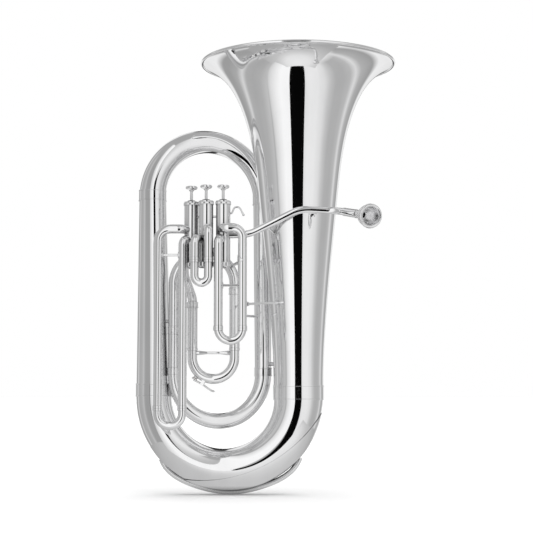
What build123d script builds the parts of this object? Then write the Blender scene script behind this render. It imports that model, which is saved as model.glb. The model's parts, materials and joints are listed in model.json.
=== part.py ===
from build123d import *
import os
from math import cos, pi, sin

# A three-valve, top-action E-flat tuba standing upright, bell up.
# Row frame, millimetres: +Z up, -Y toward the player's side with the valves,
# origin at the lowest point of the rib under the bottom bow.

os.makedirs("parts", exist_ok=True)

# ---- Driving dimensions: the main bugle -------------------------------------
BELL_X = 128.0
BELL_RIM_RADIUS = 185.5
BELL_HEIGHT = 817.0
BELL_JOINT_Z = 189.0
BELL_SEAMS = (440.0, 690.0)
BELL_WALL = 0.9
BELL_OUTLINE = [(46.5, 203), (50, 299), (60, 420), (70.6, 522), (77.8, 591),
                (90.3, 670), (111, 736), (144, 788), (181.2, 812.8)]
BEAD_RADIUS = 2.6
RIM_WIRE_RADIUS = 1.7
RIM_LAND_CUT = 0.2

BOW_CENTRE = Vector(-7.5, 0, 182)
BOW_BEND = 135.5
BOW_BIG_RADIUS = 46.5
BOW_SMALL_RADIUS = 33.0
BOW_TAPER_POWER = 1.35
BOW_WALL = 0.9

BRANCH_FOOT = Vector(-143, 0, 194)
BRANCH_TOP = Vector(-148, 0, 561)
BRANCH_TOP_RADIUS = 25.2

INNER_BRANCH_TOP = Vector(59.5, 66, 561)
INNER_BRANCH_FOOT = Vector(61.4, 27, 228)
INNER_BRANCH_TOP_RADIUS = 17.4
INNER_BRANCH_FOOT_RADIUS = 15.5

INNER_BOW_LEFT = Vector(-105.1, -24, 223)
INNER_BOW_RIGHT = Vector(61.4, 27, 223)
INNER_BOW_LEFT_RADIUS = 10.3
INNER_TUBE_FOOT_Z = 228.0
INNER_TUBE_TOP_Z = 305.0

TUBE_WALL = 0.8
BEND_STEPS = 12

# ---- Driving dimensions: valves ---------------------------------------------
VALVE_AXES = {1: (-12.1, -66), 2: (-43.6, -66), 3: (-71.6, -50)}
CASING_RADIUS = 13.3
CASING_BORE = 11.9
CASING_BOTTOM = 422.0
CASING_TOP = 540.0
CAP_RADIUS = 14.3
TOP_CAP_BASE = 535.5
TOP_CAP_TOP = 542.5
BOTTOM_CAP_BASE = 418.5
BOTTOM_CAP_TOP = 429.5
PISTON_RADIUS = 11.85
PISTON_BOTTOM = 452.0
PISTON_TOP = 519.0
VALVE_TRAVEL = 17.5
STEM_RADIUS = 2.7
STEM_TOP = 563.2
BUTTON_RADIUS = 11.1
BUTTON_TOP = 571.6
FELT_TOP = 544.8
LINK_HEIGHT = 513.0
KNUCKLE_RADIUS = 7.6
KNUCKLE_12_Z = 448.0
KNUCKLE_23_Z = 462.0

# ---- Driving dimensions: valve slides (outer tube, inner leg, bow) ----------
SLEEVE_RADIUS = 8.1
SLEEVE_BORE = 7.35
LEG_RADIUS = 7.3
LEG_BORE = 6.5
SLIDE_BOW_RADIUS = 7.6
COLLAR_RADIUS = 8.9
COLLAR_LENGTH = 4.0
SEAT_GAP = 0.3
UPPER_PORT_Z = 490.0
LOWER_PORT_Z = 471.0
PORT_BEND = 10.5

SLIDE_1_Y = -91.0
SLIDE_1_LEFT_X = -20.0
SLIDE_1_RIGHT_X = 24.0
SLIDE_1_JOINT_Z = 306.0
SLIDE_1_LOW_Z = 283.2
SLIDE_1_LEG = 70.0

SLIDE_2_Y = -91.0
SLIDE_2_LEFT_X = -63.5
SLIDE_2_RIGHT_X = -38.5
SLIDE_2_JOINT_Z = 431.0
SLIDE_2_LOW_Z = 389.0
SLIDE_2_LEG = 26.0

SLIDE_3_Y = -68.5
SLIDE_3_LEFT_X = -131.0
SLIDE_3_RIGHT_X = -86.2
SLIDE_3_JOINT_Z = 161.0
SLIDE_3_LOW_Z = 128.5
SLIDE_3_LEG = 95.0

# ---- Driving dimensions: crossover arch and main tuning slide ---------------
TUNING_Y = -24.0
TUNING_LEFT_X = -70.2
TUNING_RIGHT_X = 8.3
TUNING_JOINT_Z = 272.0
TUNING_LOW_Z = 214.4
TUNING_SLEEVE_RADIUS = 9.6
TUNING_SLEEVE_BORE = 8.55
TUNING_LEG_RADIUS = 8.5
TUNING_LEG_BORE = 7.7
TUNING_BOW_RADIUS = 9.0
TUNING_LEG = 75.0
TUNING_LEFT_TOP_Z = 352.0
ARCH_Z = 391.5
ARCH_RADIUS = 9.8
ARCH_FOOT_Z = 378.0
EXIT_PORT_Z = 462.0
EXIT_RADIUS = 8.6

# ---- Driving dimensions: leadpipe and mouthpiece ----------------------------
LEADPIPE_RADIUS = 6.4
LEADPIPE_BORE = 5.6
LEADPIPE_PORT_Z = 479.0
RECEIVER_START = Vector(209.6, -107, 517)
MOUTHPIECE_AIM = Vector(0.37, -0.912, -0.184).normalized()
RECEIVER_LENGTH = 56.0
RECEIVER_RADIUS = 7.5
SOCKET_DEPTH = 12.0
SHANK_DEPTH = 28.0
SHANK_TIP_RADIUS = 6.05
SHANK_MOUTH_RADIUS = 6.6
TAPER_CLEARANCE = 0.06
MOUTHPIECE_LENGTH = 85.0
MOUTHPIECE_RIM_RADIUS = 21.6

# ---- Driving dimensions: ferrules, braces, water key ------------------------
FERRULE_WALL = 0.9
BRACE_RADIUS = 2.2
PAD_RADIUS = 5.4
PAD_THICKNESS = 1.1
TUNING_BRACE_Z = 262.8
TUNING_BRACE_FOOT = 3.9
TUNING_BRACE_TAPER = 19.0
FLANGE_HALF_HEIGHT = 10.5
FLANGE_HALF_WIDTH = 8.6
FLANGE_Z = 430.0
KEY_ANGLE = 228
KEY_ARM_RADIUS = 1.8
KEY_CUP_RADIUS = 5.0
KEY_PIVOT = Vector(-51.6, -24, 205.3)
KEY_PIN_RADIUS = 1.1
KEY_HUB_BORE = 1.15
RIB_RADIUS = 5.0
RIB_OUTER = 185.0
GUARD_THICKNESS = 1.0
GUARD_EDGE_CENTRE = (-57.8, 301)
GUARD_EDGE_RADIUS = 274.0

UP = Vector(0, 0, 1)
DOWN = Vector(0, 0, -1)


# ---- Small building blocks --------------------------------------------------
def disc(origin, heading, radius):
    return Plane(origin=origin, z_dir=heading) * Circle(radius)


def rod(start, end, radius):
    """Solid round bar from start to end."""
    run = Vector(end) - Vector(start)
    return extrude(disc(Vector(start), run.normalized(), radius), amount=run.length)


def pipe(points, bends, radius):
    """Solid round bar along straight runs joined by tangent arcs."""
    path = FilletPolyline(*points, radius=bends)
    return sweep(disc(path @ 0, path % 0, radius), path=path)


def u_tube(first, second, ends, turn_z, way, radius):
    """Upright U: straight from first's end to the turn, half a circle, and back to second's end."""
    middle = Vector((first[0] + second[0]) / 2, (first[1] + second[1]) / 2, turn_z)
    bend = (Vector(*second, turn_z) - Vector(*first, turn_z)).length / 2
    arc = ThreePointArc((*first, turn_z), middle + way * bend, (*second, turn_z))
    path = Wire([Line((*first, ends[0]), (*first, turn_z)), arc,
                 Line((*second, turn_z), (*second, ends[1]))])
    return sweep(disc(path @ 0, path % 0, radius), path=path)


def post(x, y, low, high, radius):
    """Upright cylinder."""
    return rod((x, y, low), (x, y, high), radius)


def ring(x, y, low, high, outer, inner):
    """Upright ring."""
    return post(x, y, low, high, outer) - post(x, y, low, high, inner)


def turned(plane, points):
    """Solid turned about a plane's Z axis from (radius, height) corners."""
    outline = make_face(Polyline(*[(r, 0, z) for r, z in points], close=True))
    return plane * revolve(outline, Axis.Z)


def tapered_post(sections):
    """Loft through level circles, each a (centre, radius)."""
    return loft([Plane(origin=centre) * Circle(radius) for centre, radius in sections])


def half_turn(centre, across, up, bend, radius_at):
    """Tapered half-turn from centre + across round by way of centre + up."""
    sections = []
    for step in range(BEND_STEPS + 1):
        share = step / BEND_STEPS
        spoke = across * cos(pi * share) + up * sin(pi * share)
        heading = up * cos(pi * share) - across * sin(pi * share)
        plane = Plane(origin=centre + spoke * bend, x_dir=across.cross(up), z_dir=heading)
        sections.append(plane * Circle(radius_at(share)))
    return loft(sections)


def casing_core(number):
    """The full cylinder that a valve casing fills, used to trim its neighbours."""
    x, y = VALVE_AXES[number]
    return post(x, y, BOTTOM_CAP_BASE, TOP_CAP_TOP, CASING_RADIUS)


def pad(host, heading, host_radius, brace_heading):
    """Curved foot where a brace meets a tube at a point on the tube's axis."""
    half = PAD_RADIUS * 1.5
    start = Vector(host) - Vector(heading) * half
    end = Vector(host) + Vector(heading) * half
    shell = rod(start, end, host_radius + PAD_THICKNESS) - rod(start, end, host_radius)
    reach = Vector(host) + Vector(brace_heading).normalized() * (host_radius * 2)
    return shell & rod(host, reach, PAD_RADIUS)


def brace(first, second, first_tube, second_tube):
    """Rod between two tubes; each tube is (axis heading, radius)."""
    run = (Vector(second) - Vector(first)).normalized()
    bar = rod(first, second, BRACE_RADIUS)
    for point, (heading, radius), way in ((first, first_tube, run), (second, second_tube, -run)):
        half = Vector(heading) * (PAD_RADIUS * 3)
        bar = bar - rod(Vector(point) - half, Vector(point) + half, radius)
    bar = bar + pad(first, first_tube[0], first_tube[1], run)
    return bar + pad(second, second_tube[0], second_tube[1], -run)


# ---- Bell -------------------------------------------------------------------
def bell_outline(outset):
    """The bell's outer line in the XZ plane, moved outward by outset."""
    line = Spline(*[(r, 0, z) for r, z in BELL_OUTLINE], tangents=[(0, 0, 1), (1, 0, 0.42)])
    if outset == 0:
        return line
    points = []
    for step in range(25):
        share = step / 24
        along = line % share
        points.append(line @ share + Vector(along.Z, 0, -along.X) * outset)
    return Spline(*points)


def bell_solid(outset, foot_z):
    """Everything inside the bell's outer surface, from foot_z to the rim."""
    line = bell_outline(outset)
    foot = line @ 0
    top = line @ 1
    sides = [Line((foot.X, 0, foot_z), foot), line, Line(top, (0, 0, top.Z)),
             Line((0, 0, top.Z), (0, 0, foot_z)), Line((0, 0, foot_z), (foot.X, 0, foot_z))]
    return Pos(BELL_X, 0, 0) * revolve(make_face(sides), Axis.Z)


def bell_sheet():
    """The thin wall between the outer and the inner line of the bell."""
    outer = bell_outline(0)
    inner = bell_outline(-BELL_WALL)
    low_out = (outer @ 0).X
    low_in = (inner @ 0).X
    sides = [outer, Line(outer @ 1, inner @ 1), inner, Line(inner @ 0, (low_in, 0, BELL_JOINT_Z)),
             Line((low_in, 0, BELL_JOINT_Z), (low_out, 0, BELL_JOINT_Z)),
             Line((low_out, 0, BELL_JOINT_Z), outer @ 0)]
    return revolve(make_face(sides), Axis.Z)


def bead_ring(radius):
    plane = Plane(origin=(BELL_RIM_RADIUS - BEAD_RADIUS, 0, BELL_HEIGHT - BEAD_RADIUS + RIM_LAND_CUT),
                  z_dir=(0, 1, 0))
    return revolve(plane * Circle(radius), Axis.Z)


def bell():
    """Bell flare with its rolled bead, whose top has a narrow flat land."""
    shape = bell_sheet() + bead_ring(BEAD_RADIUS)
    shape = shape - bead_ring(RIM_WIRE_RADIUS)
    cutter = Pos(0, 0, BELL_HEIGHT + 5) * Box(500, 500, 10)
    return Pos(BELL_X, 0, 0) * (shape - cutter)


def bell_lengths():
    """The bell in its three joined lengths: tail, body and flare."""
    shape = bell()
    levels = (BELL_JOINT_Z - 1, *BELL_SEAMS, BELL_HEIGHT + 1)
    lengths = []
    for low, high in zip(levels, levels[1:]):
        lengths.append(shape & (Pos(BELL_X, 0, (low + high) / 2) * Box(500, 500, high - low)))
    return lengths


def bell_rim_wire():
    return Pos(BELL_X, 0, 0) * bead_ring(RIM_WIRE_RADIUS)


# ---- Bottom bow, guard and main branches ------------------------------------
def bow_radius(share):
    drop = BOW_BIG_RADIUS - BOW_SMALL_RADIUS
    return BOW_SMALL_RADIUS + drop * (1 - share) ** BOW_TAPER_POWER


def bow_solid(outset):
    """The bottom bow's outer shape, from the bell joint to the branch joint."""
    shape = half_turn(BOW_CENTRE, Vector(1, 0, 0), DOWN, BOW_BEND, lambda t: bow_radius(t) + outset)
    right = BOW_CENTRE.X + BOW_BEND
    left = BOW_CENTRE.X - BOW_BEND
    shape = shape + post(right, 0, BOW_CENTRE.Z, BELL_JOINT_Z, BOW_BIG_RADIUS + outset)
    return shape + post(left, 0, BOW_CENTRE.Z, BRANCH_FOOT.Z, BOW_SMALL_RADIUS + outset)


def bow_guard(bow, grown):
    """Crescent plate wrapped on the outside of the bow."""
    x, z = GUARD_EDGE_CENTRE
    above = rod((x, -200, z), (x, 200, z), GUARD_EDGE_RADIUS)
    return grown - bow - above


def bow_guard_rib(bow, guard):
    """Half-round rib along the bottom, on which the instrument stands."""
    middle = RIB_OUTER - RIB_RADIUS
    points = []
    for degrees in (-137, -132, -110, -90, -70, -47, -42):
        angle = degrees * pi / 180
        sink = 5.0 if degrees in (-137, -42) else 0.0
        reach = middle - sink
        points.append((reach * cos(angle), 0, RIB_OUTER + reach * sin(angle)))
    path = Spline(*points)
    rail = sweep(disc(path @ 0, path % 0, RIB_RADIUS), path=path)
    return rail - bow - guard


def outer_branch(outset):
    return tapered_post([(BRANCH_FOOT, BOW_SMALL_RADIUS + outset),
                         (BRANCH_TOP, BRANCH_TOP_RADIUS + outset)])


def top_bow(outset):
    """Half-turn over the top, leaning back to pass behind the bell."""
    middle = (BRANCH_TOP + INNER_BRANCH_TOP) * 0.5
    span = BRANCH_TOP - INNER_BRANCH_TOP
    drop = BRANCH_TOP_RADIUS - INNER_BRANCH_TOP_RADIUS
    return half_turn(middle, span.normalized(), UP, span.length / 2,
                     lambda t: BRANCH_TOP_RADIUS - drop * t + outset)


def inner_branch(outset):
    """Slender tube behind the bell, easing forward on its way down."""
    sections = []
    for share in (0, 0.08, 0.3, 0.5, 0.7, 0.92, 1):
        ease = share * share * (3 - 2 * share)
        span = INNER_BRANCH_TOP - INNER_BRANCH_FOOT
        centre = INNER_BRANCH_FOOT + Vector(span.X * share, span.Y * ease, span.Z * share)
        radius = INNER_BRANCH_FOOT_RADIUS + (INNER_BRANCH_TOP_RADIUS - INNER_BRANCH_FOOT_RADIUS) * share
        sections.append((centre, radius + outset))
    return tapered_post(sections)


def inner_bow(outset):
    """Half-turn inside the bottom bow, from the inner branch to the inner tube."""
    middle = (INNER_BOW_LEFT + INNER_BOW_RIGHT) * 0.5
    span = INNER_BOW_RIGHT - INNER_BOW_LEFT
    drop = INNER_BRANCH_FOOT_RADIUS - INNER_BOW_LEFT_RADIUS
    shape = half_turn(middle, span.normalized(), DOWN, span.length / 2,
                      lambda t: INNER_BRANCH_FOOT_RADIUS - drop * t * t + outset)
    right = INNER_BOW_RIGHT
    left = INNER_BOW_LEFT
    shape = shape + post(right.X, right.Y, right.Z, INNER_BRANCH_FOOT.Z, INNER_BRANCH_FOOT_RADIUS + outset)
    return shape + post(left.X, left.Y, left.Z, INNER_TUBE_FOOT_Z, INNER_BOW_LEFT_RADIUS + outset)


def inner_tube(outset):
    left = INNER_BOW_LEFT
    foot = Vector(left.X, left.Y, INNER_TUBE_FOOT_Z)
    head = Vector(left.X, left.Y, INNER_TUBE_TOP_Z)
    return tapered_post([(foot, INNER_BOW_LEFT_RADIUS + outset), (head, ARCH_RADIUS + outset)])


def ferrule(x, y, middle, length, radius, *tubes):
    """Band over a joint between tubes, with a slim bead at each lip."""
    half = length / 2
    plane = Plane(origin=(x, y, middle))
    band = turned(plane, [(0, -half), (radius + FERRULE_WALL + 0.5, -half),
                          (radius + FERRULE_WALL + 0.5, -half + 1.6), (radius + FERRULE_WALL, -half + 2.0),
                          (radius + FERRULE_WALL, half - 2.0), (radius + FERRULE_WALL + 0.5, half - 1.6),
                          (radius + FERRULE_WALL + 0.5, half), (0, half)])
    for tube in tubes:
        band = band - tube
    return band


# ---- Crossover arch, exit tube and main tuning slide ------------------------
def crossover_arch(radius):
    ends = (INNER_TUBE_TOP_Z, ARCH_FOOT_Z)
    return u_tube((INNER_BOW_LEFT.X, TUNING_Y), (TUNING_RIGHT_X, TUNING_Y), ends, ARCH_Z, UP, radius)


def exit_path(radius):
    """From the third valve back over the arch, down behind it and in to the tuning slide."""
    x, y = VALVE_AXES[3]
    points = [(x, y, EXIT_PORT_Z), (-87, -5, EXIT_PORT_Z), (-87, -5, 410),
              (TUNING_LEFT_X, TUNING_Y, 364), (TUNING_LEFT_X, TUNING_Y, TUNING_LEFT_TOP_Z)]
    return pipe(points, [14, 28, 30], radius)


def tuning_slide_sleeves():
    shape = ring(TUNING_LEFT_X, TUNING_Y, TUNING_JOINT_Z, TUNING_LEFT_TOP_Z,
                 TUNING_SLEEVE_RADIUS, TUNING_SLEEVE_BORE)
    return shape + ring(TUNING_RIGHT_X, TUNING_Y, TUNING_JOINT_Z, ARCH_FOOT_Z,
                        TUNING_SLEEVE_RADIUS, TUNING_SLEEVE_BORE)


def slide_crook(left_x, right_x, y, joint_z, low_z, radius):
    """U of tube whose two tops are level with the joint."""
    turn_z = low_z + (right_x - left_x) / 2
    return u_tube((left_x, y), (right_x, y), (joint_z, joint_z), turn_z, DOWN, radius)


def slide_bow(left_x, right_x, y, joint_z, low_z, leg, sizes):
    """Moving half of a slide: bow, collars at the joint and the two inner legs."""
    bow_radius_out, leg_radius, bore, collar = sizes
    seat_z = joint_z - SEAT_GAP
    shape = slide_crook(left_x, right_x, y, seat_z, low_z, bow_radius_out)
    for x in (left_x, right_x):
        shape = shape + post(x, y, seat_z, joint_z + leg, leg_radius)
        shape = shape + post(x, y, seat_z - COLLAR_LENGTH, seat_z, collar)
    shape = shape - slide_crook(left_x, right_x, y, seat_z, low_z, bore)
    for x in (left_x, right_x):
        shape = shape - post(x, y, seat_z, joint_z + leg, bore)
    return shape


def tuning_slide_bow():
    sizes = (TUNING_BOW_RADIUS, TUNING_LEG_RADIUS, TUNING_LEG_BORE, TUNING_SLEEVE_RADIUS + 0.6)
    shape = slide_bow(TUNING_LEFT_X, TUNING_RIGHT_X, TUNING_Y, TUNING_JOINT_Z, TUNING_LOW_Z,
                      TUNING_LEG, sizes)
    return shape - key_drain(1.9)


def tuning_slide_brace():
    """Cross bar for pulling the main tuning slide, flared where it meets the two tubes."""
    start = Vector(TUNING_LEFT_X, TUNING_Y, TUNING_BRACE_Z)
    length = TUNING_RIGHT_X - TUNING_LEFT_X
    flare = TUNING_BOW_RADIUS + TUNING_BRACE_TAPER
    bar = turned(Plane(origin=start, z_dir=(1, 0, 0)),
                 [(0, 0), (TUNING_BRACE_FOOT, 0), (TUNING_BRACE_FOOT, TUNING_BOW_RADIUS + 4),
                  (BRACE_RADIUS, flare), (BRACE_RADIUS, length - flare),
                  (TUNING_BRACE_FOOT, length - TUNING_BOW_RADIUS - 4), (TUNING_BRACE_FOOT, length),
                  (0, length)])
    for x in (TUNING_LEFT_X, TUNING_RIGHT_X):
        bar = bar - post(x, TUNING_Y, TUNING_BRACE_Z - 9, TUNING_BRACE_Z + 9, TUNING_BOW_RADIUS)
    return bar


# ---- Water key on the tuning slide ------------------------------------------
def key_heading():
    angle = KEY_ANGLE * pi / 180
    return Vector(cos(angle), 0, sin(angle))


def tuning_bend_centre():
    bend = (TUNING_RIGHT_X - TUNING_LEFT_X) / 2
    return Vector((TUNING_LEFT_X + TUNING_RIGHT_X) / 2, TUNING_Y, TUNING_LOW_Z + bend), bend


def key_point(reach):
    centre, _ = tuning_bend_centre()
    return centre + key_heading() * reach


def key_drain(radius):
    _, bend = tuning_bend_centre()
    return rod(key_point(bend + 4), key_point(bend + 14), radius)


def tuning_bow_core():
    return slide_crook(TUNING_LEFT_X, TUNING_RIGHT_X, TUNING_Y, TUNING_JOINT_Z, TUNING_LOW_Z,
                       TUNING_BOW_RADIUS)


def water_key_nipple(core):
    _, bend = tuning_bend_centre()
    nipple = rod(key_point(bend + 6), key_point(bend + 11.4), 3.9)
    return nipple - core - key_drain(1.9)


def water_key_cork():
    _, bend = tuning_bend_centre()
    return rod(key_point(bend + 11.4), key_point(bend + 13.4), 4.0)


def water_key_lever():
    """Arm with a cork cup at one end, a hub at the pivot and a finger tail."""
    _, bend = tuning_bend_centre()
    cup = rod(key_point(bend + 12.2), key_point(bend + 15.4), KEY_CUP_RADIUS)
    seat = key_point(bend + 15.4)
    hub = KEY_PIVOT + Vector(0, 0, -0.6)
    points = [seat, hub, (-41, TUNING_Y, 197), (-33.5, TUNING_Y, 192.4), (-29.8, TUNING_Y, 191.6)]
    arm = pipe(points, [6, 12, 6], KEY_ARM_RADIUS)
    tail = turned(Plane(origin=(-31.5, TUNING_Y, 190.9)),
                  [(0, 0), (3.6, 0), (4.2, 0.7), (3.6, 1.4), (0, 1.4)])
    half = Vector(0, 2.2, 0)
    shape = cup + arm + tail + rod(KEY_PIVOT - half, KEY_PIVOT + half, 2.6)
    shape = shape - water_key_cork()
    return shape - rod(KEY_PIVOT - half * 2, KEY_PIVOT + half * 2, KEY_HUB_BORE)


def water_key_saddle(core):
    """Two ears on the bow that carry the pivot pin."""
    centre, _ = tuning_bend_centre()
    inward = (centre - KEY_PIVOT).normalized()
    shape = None
    for side in (-1, 1):
        low = KEY_PIVOT + Vector(0, side * 5.2, 0)
        high = KEY_PIVOT + Vector(0, side * 6.6, 0)
        ear = rod(low, high, 3.3)
        across = inward.cross(Vector(0, 1, 0))
        plane = Plane(origin=(low + high) * 0.5 + inward * 4.2, x_dir=across, z_dir=inward)
        ear = ear + plane * Box(6.6, 1.4, 8.4)
        ear = ear - rod(low - Vector(0, 9, 0), high + Vector(0, 9, 0), KEY_PIN_RADIUS)
        shape = ear if shape is None else shape + ear
    return shape - core


def water_key_pin():
    half = Vector(0, 6.6, 0)
    head = Vector(0, 7.5, 0)
    pin = rod(KEY_PIVOT - half, KEY_PIVOT + half, KEY_PIN_RADIUS)
    return pin + rod(KEY_PIVOT + half, KEY_PIVOT + head, 1.9)


def water_key_spring():
    """A closing coil on each side of the hub."""
    shape = None
    for side in (-1, 1):
        path = Helix(pitch=1.0, height=1.8, radius=1.9, center=KEY_PIVOT + Vector(0, side * 2.8, 0),
                     direction=(0, side, 0))
        coil = sweep(disc(path @ 0, path % 0, 0.35), path=path, is_frenet=True)
        shape = coil if shape is None else shape + coil
    return shape


# ---- Valves -----------------------------------------------------------------
def port_runs(number):
    """Centre lines of the tubes that open into a casing: name -> (points, bends)."""
    x, y = VALVE_AXES[number]
    if number == 1:
        upper = [(x, y, UPPER_PORT_Z), (x, SLIDE_1_Y, UPPER_PORT_Z),
                 (SLIDE_1_RIGHT_X, SLIDE_1_Y, UPPER_PORT_Z), (SLIDE_1_RIGHT_X, SLIDE_1_Y, SLIDE_1_JOINT_Z)]
        lower = [(x, y, LOWER_PORT_Z), (SLIDE_1_LEFT_X, SLIDE_1_Y, LOWER_PORT_Z),
                 (SLIDE_1_LEFT_X, SLIDE_1_Y, SLIDE_1_JOINT_Z)]
        return {"upper": (upper, [PORT_BEND, 19]), "lower": (lower, [PORT_BEND])}
    if number == 2:
        upper = [(x, y, UPPER_PORT_Z), (SLIDE_2_RIGHT_X, SLIDE_2_Y, UPPER_PORT_Z),
                 (SLIDE_2_RIGHT_X, SLIDE_2_Y, SLIDE_2_JOINT_Z)]
        lower = [(x, y, LOWER_PORT_Z), (SLIDE_2_LEFT_X, SLIDE_2_Y, LOWER_PORT_Z),
                 (SLIDE_2_LEFT_X, SLIDE_2_Y, SLIDE_2_JOINT_Z)]
        return {"upper": (upper, [PORT_BEND]), "lower": (lower, [PORT_BEND])}
    upper = [(x, y, UPPER_PORT_Z), (SLIDE_3_RIGHT_X - 4, SLIDE_3_Y, UPPER_PORT_Z),
             (SLIDE_3_LEFT_X, SLIDE_3_Y, UPPER_PORT_Z), (SLIDE_3_LEFT_X, SLIDE_3_Y, SLIDE_3_JOINT_Z)]
    lower = [(x, y, LOWER_PORT_Z), (SLIDE_3_RIGHT_X, SLIDE_3_Y, LOWER_PORT_Z),
             (SLIDE_3_RIGHT_X, SLIDE_3_Y, SLIDE_3_JOINT_Z)]
    return {"upper": (upper, [16, 22]), "lower": (lower, [PORT_BEND])}


def slide_tubes(number):
    """The two fixed outer tubes of a valve slide, from the ports to the joint."""
    core = casing_core(number)
    shape = None
    for points, bends in port_runs(number).values():
        tube = pipe(points, bends, SLEEVE_RADIUS)
        end = Vector(points[-1])
        tube = tube + post(end.X, end.Y, end.Z, end.Z + COLLAR_LENGTH, COLLAR_RADIUS)
        tube = tube - pipe(points, bends, LEG_BORE)
        leg = {1: SLIDE_1_LEG, 2: SLIDE_2_LEG, 3: SLIDE_3_LEG}[number]
        tube = tube - post(end.X, end.Y, end.Z, end.Z + leg + 1, SLEEVE_BORE) - core
        shape = tube if shape is None else shape + tube
    return shape


def valve_casing(number, bores):
    x, y = VALVE_AXES[number]
    shape = ring(x, y, CASING_BOTTOM, CASING_TOP, CASING_RADIUS, CASING_BORE)
    for bore in bores:
        shape = shape - bore
    return shape


def top_cap(number):
    x, y = VALVE_AXES[number]
    height = TOP_CAP_TOP - TOP_CAP_BASE
    plane = Plane(origin=(x, y, TOP_CAP_BASE))
    plate = TOP_CAP_TOP - CASING_TOP
    return turned(plane, [(CASING_RADIUS, 0), (CAP_RADIUS, 0), (CAP_RADIUS, height - 2.4),
                          (CAP_RADIUS - 0.4, height - 2.1), (CAP_RADIUS - 0.4, height - 0.7),
                          (CAP_RADIUS - 1.1, height), (STEM_RADIUS + 0.3, height),
                          (STEM_RADIUS + 0.3, height - plate), (CASING_RADIUS, height - plate)])


def bottom_cap(number):
    x, y = VALVE_AXES[number]
    height = BOTTOM_CAP_TOP - BOTTOM_CAP_BASE
    plane = Plane(origin=(x, y, BOTTOM_CAP_BASE))
    floor = CASING_BOTTOM - BOTTOM_CAP_BASE
    return turned(plane, [(1.5, 0.9), (4, 0.9), (5, 0), (CAP_RADIUS - 1.6, 0), (CAP_RADIUS, 1.6),
                          (CAP_RADIUS, height), (CASING_RADIUS, height), (CASING_RADIUS, floor),
                          (1.5, floor)])


def knuckle(first, second, z):
    """Short tube that carries the air from one casing to the next."""
    start = (*VALVE_AXES[first], z)
    end = (*VALVE_AXES[second], z)
    tube = rod(start, end, KNUCKLE_RADIUS) - rod(start, end, LEG_BORE)
    return tube - casing_core(first) - casing_core(second)


def casing_link(first, second):
    start = (*VALVE_AXES[first], LINK_HEIGHT)
    end = (*VALVE_AXES[second], LINK_HEIGHT)
    return rod(start, end, 2.0) - casing_core(first) - casing_core(second)


def piston(number, entry, leaving):
    """Hollow piston: straight passage at rest, and two port pockets above it."""
    x, y = VALVE_AXES[number]
    body = post(x, y, PISTON_BOTTOM, PISTON_TOP, PISTON_RADIUS)
    shape = body - post(x, y, PISTON_BOTTOM + 1.5, PISTON_TOP - 1.5, PISTON_RADIUS - 0.9)
    start, end = Vector(entry), Vector(leaving)
    reach = (end - start).normalized() * 2
    shape = shape + (rod(start, end, 6.3) & body)
    shape = shape - rod(start - reach, end + reach, 5.5)
    for direction, port_z in (((0.2, -1), UPPER_PORT_Z), ((-0.6, -0.8), LOWER_PORT_Z)):
        z = port_z + VALVE_TRAVEL
        out = Vector(direction[0], direction[1], 0).normalized()
        root = Vector(x, y, z)
        shape = shape + (rod(root + out * 5, root + out * 14, 6.0) & body)
        shape = shape - rod(root + out * 6.5, root + out * 14, 5.2)
    for turn in range(3):
        angle = turn * 2 * pi / 3
        vent = (x + 8.5 * cos(angle), y + 8.5 * sin(angle))
        shape = shape - post(vent[0], vent[1], PISTON_TOP - 3, PISTON_TOP + 1, 1.3)
        shape = shape - post(vent[0], vent[1], PISTON_BOTTOM - 1, PISTON_BOTTOM + 3, 1.3)
    return shape


def stem(number):
    x, y = VALVE_AXES[number]
    shape = post(x, y, PISTON_TOP, STEM_TOP, STEM_RADIUS)
    return shape + post(x, y, PISTON_TOP, PISTON_TOP + 2.5, 5.5)


def button(number):
    x, y = VALVE_AXES[number]
    plane = Plane(origin=(x, y, STEM_TOP))
    height = BUTTON_TOP - STEM_TOP
    return turned(plane, [(0, 0), (4.2, 0), (4.8, 1.6), (BUTTON_RADIUS - 1, 3.6), (BUTTON_RADIUS, 4.6),
                          (BUTTON_RADIUS, height - 1.6), (BUTTON_RADIUS - 1.1, height),
                          (BUTTON_RADIUS - 2, height), (BUTTON_RADIUS - 2.4, height - 0.9),
                          (0, height - 0.7)])


def felt(number):
    x, y = VALVE_AXES[number]
    return ring(x, y, TOP_CAP_TOP, FELT_TOP, 7.0, STEM_RADIUS + 0.4)


def valve_spring(number):
    x, y = VALVE_AXES[number]
    wire = 0.6
    low = CASING_BOTTOM + wire + 0.1
    height = PISTON_BOTTOM - CASING_BOTTOM - 2 * wire - 0.2
    path = Helix(pitch=height / 7, height=height, radius=9.6, center=(x, y, low))
    return sweep(disc(path @ 0, path % 0, wire), path=path, is_frenet=True)


# ---- Leadpipe, receiver, mouthpiece, hook -----------------------------------
def leadpipe_run():
    x, y = VALVE_AXES[1]
    aim = RECEIVER_START + MOUTHPIECE_AIM * SOCKET_DEPTH
    corner = RECEIVER_START - MOUTHPIECE_AIM * 26
    points = [(x, y, LEADPIPE_PORT_Z), (36, -67, 480.4), (130, -84, 525.5), corner, aim]
    return points, [60, 70, 34]


def leadpipe(radius):
    points, bends = leadpipe_run()
    return pipe(points, bends, radius)


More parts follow.
